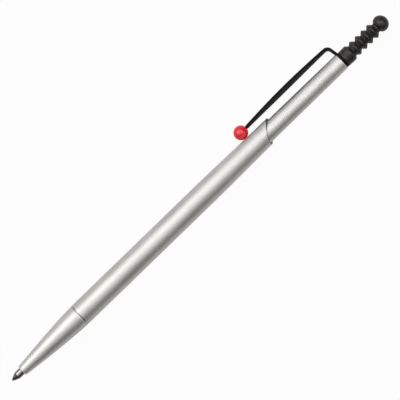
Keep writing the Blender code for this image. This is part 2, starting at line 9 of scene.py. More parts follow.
import bmesh
import bpy
from mathutils import Matrix, Vector


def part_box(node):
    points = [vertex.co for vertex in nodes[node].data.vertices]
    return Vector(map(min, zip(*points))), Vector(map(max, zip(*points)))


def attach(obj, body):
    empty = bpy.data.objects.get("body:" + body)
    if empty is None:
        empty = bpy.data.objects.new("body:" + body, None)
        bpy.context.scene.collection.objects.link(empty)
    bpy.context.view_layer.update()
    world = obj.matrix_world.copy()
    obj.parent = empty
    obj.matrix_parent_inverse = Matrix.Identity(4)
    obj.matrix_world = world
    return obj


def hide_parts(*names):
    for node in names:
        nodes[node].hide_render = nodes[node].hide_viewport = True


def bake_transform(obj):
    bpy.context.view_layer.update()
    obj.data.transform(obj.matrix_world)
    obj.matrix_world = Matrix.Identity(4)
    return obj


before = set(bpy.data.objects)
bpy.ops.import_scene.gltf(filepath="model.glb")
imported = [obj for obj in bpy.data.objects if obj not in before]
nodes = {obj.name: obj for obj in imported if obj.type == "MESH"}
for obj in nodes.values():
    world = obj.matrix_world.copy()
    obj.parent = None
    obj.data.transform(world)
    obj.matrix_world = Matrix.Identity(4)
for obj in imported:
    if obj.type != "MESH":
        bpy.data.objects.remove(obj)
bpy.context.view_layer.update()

MM = 0.001

# Steps round a turned piece, and along a curve of its outline
TURN_STEPS = 96
SMALL_STEPS = 48
CURVE_STEPS = 24

# Distances within which points merge, count as on a corner, and count as on the seam's cut
WELD = 0.0001
CORNER_NEAR = 0.0005
CUT_NEAR = 0.00001

# Run of the narrow band beside a rounded rim, which keeps the rim's shading off the long tube
RIM_RUN = 0.4

# Where the pen lies in the frame
cone_low, cone_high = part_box("nose_cone")
ball_low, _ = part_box("writing_ball")
AXIS = (cone_low + cone_high) / 2
PEN_PLACE = Matrix.Translation((ball_low.x, AXIS.y, AXIS.z)) @ Matrix.Diagonal((MM, MM, MM, 1))

# Stations
NOSE_AT = 3.65
SHOULDER_AT = 24.95
SPIGOT_END_AT = 30.55
WASHER_AT = 25.01
BARREL_AT = 25.19
SEAM_AT = 96.97
BEARING_AT = 85.07
NECK_END_AT = 91.29
UPPER_END_AT = 121.48
RING_AT = 121.50
KNOB_AT = 123.27
SPRING_AT = 58.65

# Nose
NOSE_FRONT_R = 1.52
NOSE_END_R = 3.24
NOSE_EDGE = 0.16
NOSE_CURVE_SHARE = 1.38
NOSE_BORE_R = 1.19
NOSE_MOUTH_EDGE = 0.05
GUIDE_END_AT = 6.35
REFILL_WAY_AT = 6.7
REFILL_WAY_R = 1.28
SHOULDER_EDGE = 0.03
SPIGOT_EDGE = 0.15
THREAD_RUN_OUT = 1.05
THREAD_CORE_R = 1.93
THREAD_SINK = 0.04
THREAD_CREST_R = 2.13
THREAD_CREST_HALF = 0.05
THREAD_ROOT_SHARE = 0.42
THREAD_PITCH = 0.5
THREAD_TURNS = 8
WASHER_THICKNESS = 0.12
WASHER_BORE_R = 2.15
WASHER_INSET = 0.03
WASHER_EDGE = 0.02

# Refill point
WRITING_BALL_R = 0.35
LIP_AT = 0.44
LIP_R = 0.4
CONE_AT = 0.5
CONE_FRONT_R = 0.44
CONE_END_AT = 2.04
CONE_EDGE = 0.12
SOCKET_AT = 0.6
SOCKET_R = 0.34
INK_WAY_AT = 0.78
INK_WAY_R = 0.15
SHANK_R = 1.08
HEAD_AT = 6.7
HEAD_FULL_AT = 7.0
HEAD_R = 1.15
HEAD_EDGE = 0.06
TAIL_AT = 8.94
TAIL_R = 0.86
TAIL_END_AT = 12.0

# Barrels, and how squarely a face has to look out of the seam's slanted cut to belong to it
BARREL_R = 3.25
BARREL_EDGE = 0.04
SEAM_R = 2.98
BORE_R = 2.55
TAPER_LENGTH = 25.78
SEAM_OVERRUN = 0.5
SEAM_DROP = 4.25
SEAM_TURN = math.radians(14)
SEAM_EDGE = 0.03
CUT_FACING = 0.9
UPPER_R = 2.45
UPPER_END_R = 2.39
UPPER_END_EDGE = 0.14
UPPER_BORE_R = 2.0
NECK_R = 2.13
NECK_EDGE = 0.06
NECK_BORE_R = 1.86
NECK_BORE_LENGTH = 12.0

# Clip, with its reach counted from the pen's axis
CLIP_BALL_AT = 89.19
CLIP_BALL_R = 2.0
CLIP_BALL_REACH = 5.1389
CLIP_DIP = math.asin((AXIS.z / MM - CLIP_BALL_R) / CLIP_BALL_REACH)
CLIP_PLACE = PEN_PLACE @ Matrix.Rotation(-CLIP_DIP, 4, "X")
CLIP_THICKNESS = 0.72
CLIP_EDGE = 0.09
CLIP_TIP_WIDTH = 1.55
CLIP_ROOT_WIDTH = 1.8
CLIP_SWELL = 1.95
CLIP_BOW = 0.22
CLIP_ROOT_REACH = 5.39
BEND_R = 1.4
LEG_LEAN = math.radians(8)
LEG_ROOT_REACH = 1.95
LEAF_STEPS = 60
BEND_STEPS = 14
TANG_LENGTH = 1.3
TANG_WIDTH = 0.6
TANG_SHOULDER = 0.16
TANG_BORE_R = 0.54
TANG_BORE_OVERRUN = 0.06
RING_THICKNESS = 0.76
RING_R = 2.25
RING_BORE_R = 1.49
RING_EDGE = 0.06

# Knob
COLLAR_R = 2.34
COLLAR_LENGTH = 1.5
COLLAR_FRONT_EDGE = 0.06
COLLAR_EDGE = 0.22
FIRST_VALLEY_R = 1.56
FIRST_VALLEY_RUN = 0.81
RIB_COUNT = 4
RIB_R = 2.2
RIB_PITCH = 2.1
RIB_CREST_SHARE = 0.47
RIB_FLAT = 0.34
CREST_EDGE = 0.07
VALLEY_R = 1.38
VALLEY_EDGE = 0.1
LAST_VALLEY_RUN = 1.88
KNOB_BALL_R = 2.27
KNOB_BALL_FRONT = 1.9
KNOB_BALL_BACK = 2.14
KNOB_BALL_AT = KNOB_AT + COLLAR_LENGTH + FIRST_VALLEY_RUN + RIB_COUNT * RIB_PITCH + LAST_VALLEY_RUN
STEM_HOLE_R = 0.89
POCKET_R = 1.24
POCKET_FRONT = 0.75
POCKET_BACK = 0.63

# End plug
PLUG_JOINT = 0.02
PLUG_SHANK_LENGTH = 8
PLUG_SHANK_R = 1.45
PLUG_EDGE = 0.12
BASE_R = 2.3
BASE_EDGE = 0.06
STEM_R = 0.85
BEAD_FRONT = 0.66
BEAD_LENGTH = 1.2
BEAD_R = 1.2

# Return spring, wound in stretches of (turns, pitch)
SPRING_WIRE_R = 0.14
SPRING_WIRE_STEPS = 10
SPRING_COIL_R = 1.62
SPRING_WINDING = ((1, 0.3), (4, 0.98), (1, 0.3))

# Floor, camera and lamps, in metres, with the floor's glow and the share of it that a mirror shows
FLOOR_HALF = 4
FLOOR_DROP = 0.00003
FLOOR_GLOW = 0.95
MIRRORED_SHARE = 0.28
CAMERA_LENS = 209.6
CAMERA_HEIGHT = 0.6202
CAMERA_SIDE = 0.00028
CAMERA_TURN = math.radians(-44.1)
LAMP_DISTANCE = 1.0


class Signal:
    """What one output of a node gives, added and scaled as a number is."""

    def __init__(self, finish, socket):
        self.finish = finish
        self.socket = socket

    def worked(self, operation, first, second):
        return self.finish.node("Math", {"operation": operation}, {0: first, 1: second})

    def __add__(self, other):
        return self.worked("ADD", self, other)

    def __radd__(self, other):
        return self.worked("ADD", other, self)

    def __sub__(self, other):
        return self.worked("SUBTRACT", self, other)

    def __rsub__(self, other):
        return self.worked("SUBTRACT", other, self)

    def __mul__(self, other):
        return self.worked("MULTIPLY", self, other)

    def __rmul__(self, other):
        return self.worked("MULTIPLY", other, self)

    def rise(self, low, high):
        """0 up to low, 1 from high, and an easy rise between them."""
        sockets = {"Value": self, "From Min": low, "From Max": high}
        return self.finish.node("MapRange", {"interpolation_type": "SMOOTHSTEP"}, sockets)


class Finish:
    """A node material of one surface."""

    def __init__(self, name):
        self.material = bpy.data.materials.new(name)
        self.material.use_nodes = True
        self.tree = self.material.node_tree
        self.shader = self.tree.nodes["Principled BSDF"]
        self.place = self.node("TexCoord", {}, {}, "Object")

    def node(self, kind, settings, sockets, output=0):
        made = self.tree.nodes.new("ShaderNode" + kind)
        for name, value in settings.items():
            setattr(made, name, value)
        self.feed(made, sockets)
        return Signal(self, made.outputs[output])

    def feed(self, made, sockets):
        for name, value in sockets.items():
            if isinstance(value, Signal):
                self.tree.links.new(value.socket, made.inputs[name])
            else:
                made.inputs[name].default_value = value

    def surface(self, **sockets):
        """Sets the shader's own sockets, named in small letters with _ for a space."""
        for name, value in sockets.items():
            title = name.replace("_", " ").title().replace("Ior", "IOR")
            self.feed(self.shader, {title: value})
        return self.material

    def noise(self, scale, detail=2, place=None):
        sockets = {"Vector": place or self.place, "Scale": scale, "Detail": detail}
        return self.node("TexNoise", {}, sockets)

    def stretched(self, scale):
        """The place on the piece with a scale for each axis, for patterns that run one way."""
        return self.node("Mapping", {}, {"Vector": self.place, "Scale": scale})

    def tint(self, share, first, second):
        """The first colour where the share is 0, and the second where it is 1."""
        sockets = {0: share, 6: (*first, 1), 7: (*second, 1)}
        return self.node("Mix", {"data_type": "RGBA"}, sockets, 2)

    def bump(self, height, distance, strength=1.0):
        sockets = {"Height": height, "Distance": distance, "Strength": strength}
        return self.node("Bump", {}, sockets)


def satin_metal(name, dark, light, roughness):
    """Blasted and anodised metal: a fine grain, faint turning marks and cloudy handling marks."""
    finish = Finish(name)
    grain = finish.noise(scale=9000)
    turning = finish.noise(scale=1, detail=3, place=finish.stretched((2600, 12, 12)))
    clouds = finish.noise(scale=160, detail=3)
    return finish.surface(
        base_color=finish.tint(clouds.rise(0.35, 0.65), dark, light),
        metallic=1.0,
        roughness=roughness + (clouds - 0.5) * 0.08 + (turning - 0.5) * 0.05,
        normal=finish.bump(grain + turning * 0.4, distance=0.000004, strength=0.1),
    )


def turned_metal(name, dark, light, roughness, marks=0.4):
    """Bare metal from the lathe, with fine rings along the pen."""
    finish = Finish(name)
    rings = finish.noise(scale=1, place=finish.stretched((9000, 40, 40)))
    clouds = finish.noise(scale=400, detail=3)
    return finish.surface(
        base_color=finish.tint(clouds.rise(0.3, 0.7), dark, light),
        metallic=1.0,
        roughness=roughness + (clouds - 0.5) * 0.08,
        normal=finish.bump(rings, distance=0.000003, strength=marks),
    )


def satin_paint(name):
    """Baked black paint on sprung steel: a fine orange peel with a little dust."""
    finish = Finish(name)
    peel = finish.noise(scale=3200)
    dust = finish.noise(scale=600, detail=4).rise(0.55, 0.8)
    return finish.surface(
        base_color=finish.tint(dust, (0.008, 0.008, 0.008), (0.016, 0.016, 0.016)),
        roughness=0.5 + dust * 0.1,
        specular_ior_level=0.05,
        normal=finish.bump(peel, distance=0.000006, strength=0.35),
    )


def moulded_rubber(name):
    """Black rubber with a fine moulded grain and a breath of dust."""
    finish = Finish(name)
    grain = finish.noise(scale=7000, detail=3)
    dust = finish.noise(scale=900, detail=4).rise(0.45, 0.8)
    return finish.surface(
        base_color=finish.tint(dust, (0.0105, 0.009, 0.008), (0.019, 0.0165, 0.0145)),
        roughness=0.36 + dust * 0.12,
        specular_ior_level=0.52,
        normal=finish.bump(grain, distance=0.00001, strength=0.4),
    )


def moulded_acetal(name):
    """Milky plastic with faint clouds of flow."""
    finish = Finish(name)
    clouds = finish.noise(scale=700, detail=3)
    return finish.surface(
        base_color=finish.tint(clouds.rise(0.3, 0.7), (0.76, 0.76, 0.73), (0.84, 0.84, 0.81)),
        roughness=0.42 + clouds * 0.1,
        normal=finish.bump(clouds, distance=0.00001, strength=0.2),
    )


def polished_red(name):
    """Glossy red lacquer, a shade deeper in faint clouds."""
    finish = Finish(name)
    clouds = finish.noise(scale=500, detail=3)
    specks = finish.noise(scale=6000).rise(0.68, 0.76)
    return finish.surface(
        base_color=finish.tint(clouds.rise(0.3, 0.7), (0.71, 0.01, 0.023), (0.76, 0.015, 0.031)),
        roughness=0.1 + specks * 0.06,
        specular_ior_level=0.75,
        normal=finish.bump(clouds, distance=0.000006, strength=0.2),
    )


def dark_ink(name):
    """Black ink, glossy and a little uneven."""
    finish = Finish(name)
    ripple = finish.noise(scale=1500)
    return finish.surface(
        base_color=finish.tint(ripple, (0.006, 0.006, 0.008), (0.014, 0.014, 0.018)),
        roughness=0.2 + ripple * 0.1,
    )


# The satin barrels, their worn edges, the seam's cut face darkened as painted shade, and the metals of the
# refill and the mechanism
SILVER = satin_metal("satin_silver", (0.615, 0.611, 0.595), (0.655, 0.651, 0.635), roughness=0.5)
WORN_EDGE = turned_metal("worn_silver_edge", (0.72, 0.71, 0.7), (0.8, 0.79, 0.78), roughness=0.2)
# Dark metal on the seam's cut face: painted shade, standing in for the shadow in the gap at the seam
SHADED_CUT_FACE = turned_metal("painted_shade_cut_face", (0.12, 0.117, 0.112), (0.17, 0.166, 0.16), roughness=0.35)
BRIGHT_STEEL = turned_metal(
    "bright_steel", (0.26, 0.256, 0.25), (0.31, 0.306, 0.3), roughness=0.1, marks=0.12,
)
# A darkened copy of the bright steel for the point's cone: painted shade of its dark side
SHADED_CONE_STEEL = turned_metal(
    "painted_shade_cone_steel", (0.11, 0.107, 0.103), (0.14, 0.136, 0.131), roughness=0.1, marks=0.12,
)
PLAIN_STEEL = turned_metal("plain_steel", (0.5, 0.5, 0.49), (0.6, 0.6, 0.59), roughness=0.26)
BRASS = turned_metal("brass", (0.66, 0.47, 0.2), (0.76, 0.57, 0.27), roughness=0.28)

# Paint, rubber, plastics and ink
PAINT = satin_paint("black_paint")
RUBBER = moulded_rubber("black_rubber")
ACETAL = moulded_acetal("white_acetal")
RED = polished_red("red_gloss")
INK = dark_ink("black_ink")


def drawn(mesh, points, closed):
    """An outline of (station, radius) points as edges, ready to be turned."""
    verts = [mesh.verts.new((along, 0, radius)) for along, radius in points]
    follows = verts[1:] + verts[:1] if closed else verts[1:]
    return verts + [mesh.edges.new(ends) for ends in zip(verts, follows)]


def turned(outline, steps=TURN_STEPS):
    """A solid turned about the pen's axis. An outline that meets the axis is open there."""
    mesh = bmesh.new()
    on_axis = any(radius == 0 for _, radius in outline)
    bmesh.ops.spin(
        mesh, geom=drawn(mesh, outline, not on_axis), cent=(0, 0, 0), axis=(1, 0, 0), dvec=(0, 0, 0),
        angle=2 * math.pi, steps=steps, use_merge=True,
    )
    bmesh.ops.remove_doubles(mesh, verts=mesh.verts, dist=WELD)
    bmesh.ops.recalc_face_normals(mesh, faces=mesh.faces)
    return mesh


def reach(vert):
    """How far a point of a drawn mesh lies from the pen's axis."""
    return math.hypot(vert.co.y, vert.co.z)


def rounded(mesh, corners, size, segments=3, finish=0):
    """Rounds the rims of a turned piece that lie at these (station, radius) corners."""
    edges = [
        edge
        for edge in mesh.edges
        if any(
            all(
                abs(vert.co.x - along) < WELD and abs(reach(vert) - radius) < CORNER_NEAR
                for vert in edge.verts
            )
            for along, radius in corners
        )
    ]
    made = bmesh.ops.bevel(
        mesh, geom=edges, offset=size, offset_type="OFFSET", segments=segments, profile=0.5,
        affect="EDGES", material=-1, clamp_overlap=True,
    )
    for face in made["faces"]:
        face.material_index = finish


def bow(first, last, middle, radius_along, radius_up, steps=CURVE_STEPS):
    """Points of an oval arc about (middle, 0), from one angle to another."""
    turns = [first + (last - first) * i / steps for i in range(steps + 1)]
    return [(middle + radius_along * math.cos(turn), radius_up * math.sin(turn)) for turn in turns]


def piece(name, mesh, finishes, place=PEN_PLACE, sharp=35):
    """Puts a drawn mesh in the frame and makes it an object of the scene.

    Sharp is the angle in degrees from which an edge isn't shaded smooth.
    """
    bmesh.ops.transform(mesh, matrix=place, verts=mesh.verts)
    data = bpy.data.meshes.new(name)
    mesh.to_mesh(data)
    mesh.free()
    for finish in finishes:
        data.materials.append(finish)
    data.shade_smooth()
    data.set_sharp_from_angle(angle=math.radians(sharp))
    made = bpy.data.objects.new(name, data)
    bpy.context.scene.collection.objects.link(made)
    return made


def stands_for(made, node, body):
    """Puts a piece in the place of a CAD node, on its body."""
    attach(made, body)
    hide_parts(node)


def barrel_radius(station):
    """Outer radius of the lower barrel: straight, then an easy taper to the seam."""
    share = min(1, max(0, 1 - (SEAM_AT - station) / TAPER_LENGTH))
    return BARREL_R + (SEAM_R - BARREL_R) * share * share * (3 - 2 * share)


def make_nose():
    """The cone, its threaded spigot and the thin steel washer behind its shoulder."""
    length = SHOULDER_AT - NOSE_AT - NOSE_EDGE
    shares = [i / CURVE_STEPS for i in range(CURVE_STEPS + 1)]
    drop = NOSE_END_R - NOSE_FRONT_R
    curve = [(SHOULDER_AT - length * share, NOSE_END_R - drop * share**NOSE_CURVE_SHARE) for share in shares]
    front = (NOSE_AT, NOSE_FRONT_R - NOSE_EDGE)
    shoulder = curve[0]
    outline = [
        (NOSE_AT, NOSE_BORE_R),
        (GUIDE_END_AT, NOSE_BORE_R),
        (REFILL_WAY_AT, REFILL_WAY_R),
        (SPIGOT_END_AT, REFILL_WAY_R),
        (SPIGOT_END_AT, THREAD_CORE_R - SPIGOT_EDGE),
        (SPIGOT_END_AT - SPIGOT_EDGE, THREAD_CORE_R),
        (SHOULDER_AT, THREAD_CORE_R),
        *curve,
        front,
    ]
    cone = turned(outline)
    mouth = [front, curve[-1], (NOSE_AT, NOSE_BORE_R)]
    rounded(cone, [shoulder], SHOULDER_EDGE, segments=2)
    rounded(cone, mouth, NOSE_MOUTH_EDGE, segments=2, finish=1)
    add_thread(cone)
    stands_for(piece("nose_cone_satin", cone, [SILVER, WORN_EDGE]), "nose_cone", "nose")
    back = WASHER_AT + WASHER_THICKNESS
    rim = NOSE_END_R - WASHER_INSET
    washer = turned([(WASHER_AT, WASHER_BORE_R), (back, WASHER_BORE_R), (back, rim), (WASHER_AT, rim)])
    rounded(washer, [(WASHER_AT, rim), (back, rim)], WASHER_EDGE)
    stands_for(piece("nose_washer_steel", washer, [PLAIN_STEEL]), "nose_washer", "washer")


def add_thread(mesh):
    """A thread of V section, wound round the nose's spigot."""
    start = SHOULDER_AT + THREAD_RUN_OUT
    half = THREAD_PITCH * THREAD_ROOT_SHARE
    root = THREAD_CORE_R - THREAD_SINK
    crest = THREAD_CREST_HALF
    section = [(-half, root), (half, root), (crest, THREAD_CREST_R), (-crest, THREAD_CREST_R)]
    face = mesh.faces.new([mesh.verts.new((start + along, 0, radius)) for along, radius in section])
    bmesh.ops.spin(
        mesh, geom=[face], cent=(0, 0, 0), axis=(1, 0, 0), angle=2 * math.pi * THREAD_TURNS,
        dvec=(THREAD_PITCH / SMALL_STEPS, 0, 0), steps=SMALL_STEPS * THREAD_TURNS, use_merge=False,
    )


def make_point():
    """The refill's point: a crimped lip round the ball, a cone in steel darkened as painted shade, and a
    bright shank.
    """
    cone_end = (CONE_END_AT, SHANK_R)
    head = [(HEAD_AT, SHANK_R), (HEAD_FULL_AT, HEAD_R), (TAIL_AT, HEAD_R)]
    outline = [
        (LIP_AT, SOCKET_R),
        (LIP_AT, LIP_R),
        (CONE_AT, CONE_FRONT_R),
        cone_end,
        *head,
        (TAIL_AT, TAIL_R),
        (TAIL_END_AT, TAIL_R),
        (TAIL_END_AT, INK_WAY_R),
        (INK_WAY_AT, INK_WAY_R),
        (SOCKET_AT, SOCKET_R),
    ]
    point = turned(outline, SMALL_STEPS)
    rounded(point, [cone_end], CONE_EDGE)
    rounded(point, head, HEAD_EDGE)
    # The cone's faces take the darkened steel, which is painted shade
    for face in point.faces:
        if face.calc_center_median().x < CONE_END_AT:
            face.material_index = 1
    steel = piece("refill_point_steel", point, [BRIGHT_STEEL, SHADED_CONE_STEEL])
    stands_for(steel, "refill_point", "refill")
    mesh = turned(bow(math.pi, 0, WRITING_BALL_R, WRITING_BALL_R, WRITING_BALL_R), SMALL_STEPS)
    ball = piece("writing_ball_steel", mesh, [BRIGHT_STEEL], sharp=60)
    stands_for(ball, "writing_ball", "ball")


def make_lower_barrel():
    """The tube that the hand holds, cut off at a slant where the upper barrel comes out of it."""
    overlong = SEAM_AT + SEAM_OVERRUN
    run = overlong - (SEAM_AT - TAPER_LENGTH)
    stations = [overlong - run * i / CURVE_STEPS for i in range(CURVE_STEPS + 1)]
    front = (BARREL_AT, BARREL_R)
    outline = [(BARREL_AT, BORE_R), (overlong, BORE_R)]
    outline += [(station, barrel_radius(station)) for station in stations]
    outline += [(BARREL_AT + RIM_RUN, BARREL_R), front]
    mesh = turned(outline)
    rounded(mesh, [front], BARREL_EDGE)
    # The slanted cut takes off the overlong end, and a ring of faces closes the wall that it opens
    turn = Matrix.Rotation(-CLIP_DIP - SEAM_TURN, 3, "X")
    tilt = turn @ Matrix.Rotation(-math.atan2(SEAM_DROP, SEAM_R * 2), 3, "Z")
    long_side = turn.col[1] * SEAM_R
    long_side.x = SEAM_AT
    bmesh.ops.bisect_plane(
        mesh, geom=mesh.verts[:] + mesh.edges[:] + mesh.faces[:], dist=CUT_NEAR,
        plane_co=long_side, plane_no=tilt.col[0], clear_outer=True,
    )
    rims = [edge for edge in mesh.edges if edge.is_boundary]
    bmesh.ops.bridge_loops(mesh, edges=rims)
    bmesh.ops.recalc_face_normals(mesh, faces=mesh.faces)
    rim_edges = [edge for edge in rims if edge.is_valid]
    bmesh.ops.bevel(
        mesh, geom=rim_edges, offset=SEAM_EDGE, offset_type="OFFSET", segments=2, profile=0.5,
        affect="EDGES", material=-1, clamp_overlap=True,
    )
    mesh.normal_update()
    # The faces of the slanted cut take the dark finish, which is painted shade of the gap
    for face in mesh.faces:
        if face.normal.dot(tilt.col[0]) > CUT_FACING:
            face.material_index = 1
    barrel = piece("lower_barrel_satin", mesh, [SILVER, SHADED_CUT_FACE])
    stands_for(barrel, "lower_barrel", "barrel")


def make_upper_barrel():
    """The slimmer tube, with a bright bevel at the end that meets the clip's ring."""
    end = (UPPER_END_AT, UPPER_END_R)
    taper = (UPPER_R - UPPER_END_R) / (UPPER_END_AT - SEAM_AT)
    outline = [
        (BEARING_AT, NECK_BORE_R),
        (BEARING_AT + NECK_BORE_LENGTH, NECK_BORE_R),
        (BEARING_AT + NECK_BORE_LENGTH, UPPER_BORE_R),
        (UPPER_END_AT, UPPER_BORE_R),
        end,
        (UPPER_END_AT - RIM_RUN, UPPER_END_R + taper * RIM_RUN),
        (SEAM_AT, UPPER_R),
        (NECK_END_AT, UPPER_R),
        (NECK_END_AT, NECK_R),
        (BEARING_AT, NECK_R),
    ]
    mesh = turned(outline)
    rounded(mesh, [end], UPPER_END_EDGE, finish=1)
    rounded(mesh, [(NECK_END_AT, UPPER_R)], NECK_EDGE)
    barrel = piece("upper_barrel_satin", mesh, [SILVER, WORN_EDGE])
    stands_for(barrel, "upper_barrel", "upper")


def make_end_plug():
    """The black plug under the knob. Its shank clamps the clip's ring to the barrel."""
    shank_at = RING_AT - PLUG_SHANK_LENGTH
    base_at = RING_AT + RING_THICKNESS + PLUG_JOINT
    base_end = KNOB_AT - PLUG_JOINT
    bead_at = KNOB_BALL_AT - BEAD_FRONT
    bead_end = bead_at + BEAD_LENGTH
    outline = [
        (shank_at, 0),
        (shank_at, PLUG_SHANK_R),
        (base_at, PLUG_SHANK_R),
        (base_at, BASE_R),
        (base_end, BASE_R),
        (base_end, STEM_R),
        (bead_at, STEM_R),
        (bead_at, BEAD_R),
        (bead_end, BEAD_R),
        (bead_end, 0),
    ]
    mesh = turned(outline)
    rounded(mesh, [(base_at, BASE_R), (base_end, BASE_R)], BASE_EDGE)
    rounded(mesh, [(shank_at, PLUG_SHANK_R), (bead_at, BEAD_R), (bead_end, BEAD_R)], PLUG_EDGE)
    stands_for(piece("end_plug_black", mesh, [RUBBER]), "end_plug", "upper")


def make_knob():
    """The rubber knob: a collar, ribs of a V section and a ball."""
    ribs_at = KNOB_AT + COLLAR_LENGTH + FIRST_VALLEY_RUN
    collar_end = (KNOB_AT + COLLAR_LENGTH, COLLAR_R)
    pocket_at = KNOB_BALL_AT - POCKET_FRONT
    pocket_end = KNOB_BALL_AT + POCKET_BACK
    outline = [
        (pocket_end, 0),
        (pocket_end, POCKET_R),
        (pocket_at, POCKET_R),
        (pocket_at, STEM_HOLE_R),
        (KNOB_AT, STEM_HOLE_R),
        (KNOB_AT, COLLAR_R),
        collar_end,
    ]
    valleys = []
    crests = []
    for i in range(RIB_COUNT):
        valley = ribs_at + i * RIB_PITCH
        crest = valley + RIB_PITCH * RIB_CREST_SHARE
        valleys.append((valley, VALLEY_R if i else FIRST_VALLEY_R))
        crests += [(crest - RIB_FLAT / 2, RIB_R), (crest + RIB_FLAT / 2, RIB_R)]
        outline += [valleys[-1], *crests[-2:]]
    valleys.append((ribs_at + RIB_COUNT * RIB_PITCH, VALLEY_R))
    first = math.pi - math.asin(VALLEY_R / KNOB_BALL_R)
    front = bow(first, math.pi / 2, KNOB_BALL_AT, KNOB_BALL_FRONT, KNOB_BALL_R, CURVE_STEPS // 2)
    back = bow(math.pi / 2, 0, KNOB_BALL_AT, KNOB_BALL_BACK, KNOB_BALL_R, CURVE_STEPS // 2)
    outline += [valleys[-1], *front, *back[1:-1], (back[-1][0], 0)]
    mesh = turned(outline)
    rounded(mesh, [(KNOB_AT, COLLAR_R)], COLLAR_FRONT_EDGE)
    rounded(mesh, [collar_end], COLLAR_EDGE, segments=4)
    rounded(mesh, crests, CREST_EDGE)
    rounded(mesh, valleys, VALLEY_EDGE)
    knob = piece("rubber_knob_ribbed", mesh, [RUBBER], sharp=50)
    stands_for(knob, "rubber_knob", "upper")


def strip(mesh, sections):
    """An open sheet through (station, reach, width) sections."""
    edge = None
    for along, out, width in sections:
        if edge is None:
            edge = mesh.edges.new([mesh.verts.new((along, out, side * width / 2)) for side in (-1, 1)])
            continue
        grown = bmesh.ops.extrude_edge_only(mesh, edges=[edge])["geom"]
        for vert in (item for item in grown if isinstance(item, bmesh.types.BMVert)):
            vert.co = (along, out, math.copysign(width / 2, vert.co.z))
        edge = next(item for item in grown if isinstance(item, bmesh.types.BMEdge))
    bmesh.ops.recalc_face_normals(mesh, faces=mesh.faces)


def clip_sections():
    """The clip's centre line and width, from inside its ring to the tang in the ball."""
    # The short leg stands on the ring and leans towards the writing point up to the bend
    lean = math.tan(LEG_LEAN)
    foot_at = RING_AT + RING_THICKNESS / 2
    bend_reach = CLIP_ROOT_REACH - BEND_R
    turn_all = math.pi / 2 - LEG_LEAN
    bend_foot = bend_reach + BEND_R * math.cos(turn_all)
    bend_at = foot_at - (bend_foot - LEG_ROOT_REACH) * lean - BEND_R * math.sin(turn_all)
    sections = [(foot_at, LEG_ROOT_REACH, CLIP_ROOT_WIDTH)]
    for i in range(BEND_STEPS + 1):
        turn = turn_all * (1 - i / BEND_STEPS)
        along = bend_at + BEND_R * math.sin(turn)
        sections.append((along, bend_reach + BEND_R * math.cos(turn), CLIP_ROOT_WIDTH))
    # The leaf is bowed outwards and widest in the middle, and its tang is narrower
    tang_at = CLIP_BALL_AT + CLIP_BALL_R
    leaf_end = tang_at + TANG_SHOULDER
    for i in range(1, LEAF_STEPS + 1):
        share = 1 - i / LEAF_STEPS
        straight = CLIP_BALL_REACH + (CLIP_ROOT_REACH - CLIP_BALL_REACH) * share
        out = straight + CLIP_BOW * 4 * share * (1 - share)
        width = CLIP_TIP_WIDTH + (CLIP_ROOT_WIDTH - CLIP_TIP_WIDTH) * share
        width += CLIP_SWELL * math.sin(math.pi * share)
        sections.append((leaf_end + (bend_at - leaf_end) * share, out, width))
    sections.append((tang_at, CLIP_BALL_REACH, TANG_WIDTH))
    sections.append((tang_at - TANG_LENGTH, CLIP_BALL_REACH, TANG_WIDTH))
    return sections


def modified(mesh, name, changes):
    """The mesh as a list of (modifier type, settings) leaves it, and the object that they worked on."""
    data = bpy.data.meshes.new(name)
    mesh.to_mesh(data)
    mesh.free()
    former = bpy.data.objects.new(name, data)
    bpy.context.scene.collection.objects.link(former)
    for kind, settings in changes:
        change = former.modifiers.new(kind.title(), kind)
        for setting, value in settings.items():
            setattr(change, setting, value)
    shaped = former.evaluated_get(bpy.context.evaluated_depsgraph_get())
    result = bmesh.new()
    result.from_mesh(shaped.to_mesh())
    shaped.to_mesh_clear()
    return result, former


def make_clip():
    """The clip as one bent and painted strip, with the ring that the end plug clamps."""
    back = RING_AT + RING_THICKNESS
    ring = turned([(RING_AT, RING_BORE_R), (back, RING_BORE_R), (back, RING_R), (RING_AT, RING_R)])
    rounded(ring, [(RING_AT, RING_R), (back, RING_R)], RING_EDGE)
    _, ring_former = modified(ring, "clip_ring_former", [])
    mesh = bmesh.new()
    strip(mesh, clip_sections())
    solid = {"thickness": CLIP_THICKNESS, "offset": 0, "use_even_offset": True}
    edges = {"width": CLIP_EDGE, "segments": 3, "limit_method": "ANGLE", "angle_limit": math.radians(50)}
    union = {"operation": "UNION", "object": ring_former, "solver": "EXACT"}
    changes = [("SOLIDIFY", solid), ("BEVEL", edges), ("BOOLEAN", union)]
    mesh, strip_former = modified(mesh, "clip_strip_former", changes)
    bpy.data.objects.remove(ring_former)
    bpy.data.objects.remove(strip_former)
    clip = piece("clip_black", mesh, [PAINT], CLIP_PLACE, sharp=12)
    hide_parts("clip_ring", "clip_arm")
    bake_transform(clip)


def make_clip_ball():
    """The red ball on the clip's end, bored for the clip's tang."""
    mouth = math.asin(TANG_BORE_R / CLIP_BALL_R)
    bore_end = CLIP_BALL_AT + CLIP_BALL_R - TANG_LENGTH - TANG_BORE_OVERRUN
    outline = [(bore_end, 0), (bore_end, TANG_BORE_R)]
    outline += bow(mouth, math.pi, CLIP_BALL_AT, CLIP_BALL_R, CLIP_BALL_R, CURVE_STEPS * 2)[:-1]
    outline.append((CLIP_BALL_AT - CLIP_BALL_R, 0))
    mesh = turned(outline)
    bmesh.ops.translate(mesh, verts=mesh.verts, vec=(0, CLIP_BALL_REACH, 0))
    ball = piece("clip_ball_red", mesh, [RED], CLIP_PLACE, sharp=60)
    stands_for(ball, "clip_ball", "clip")


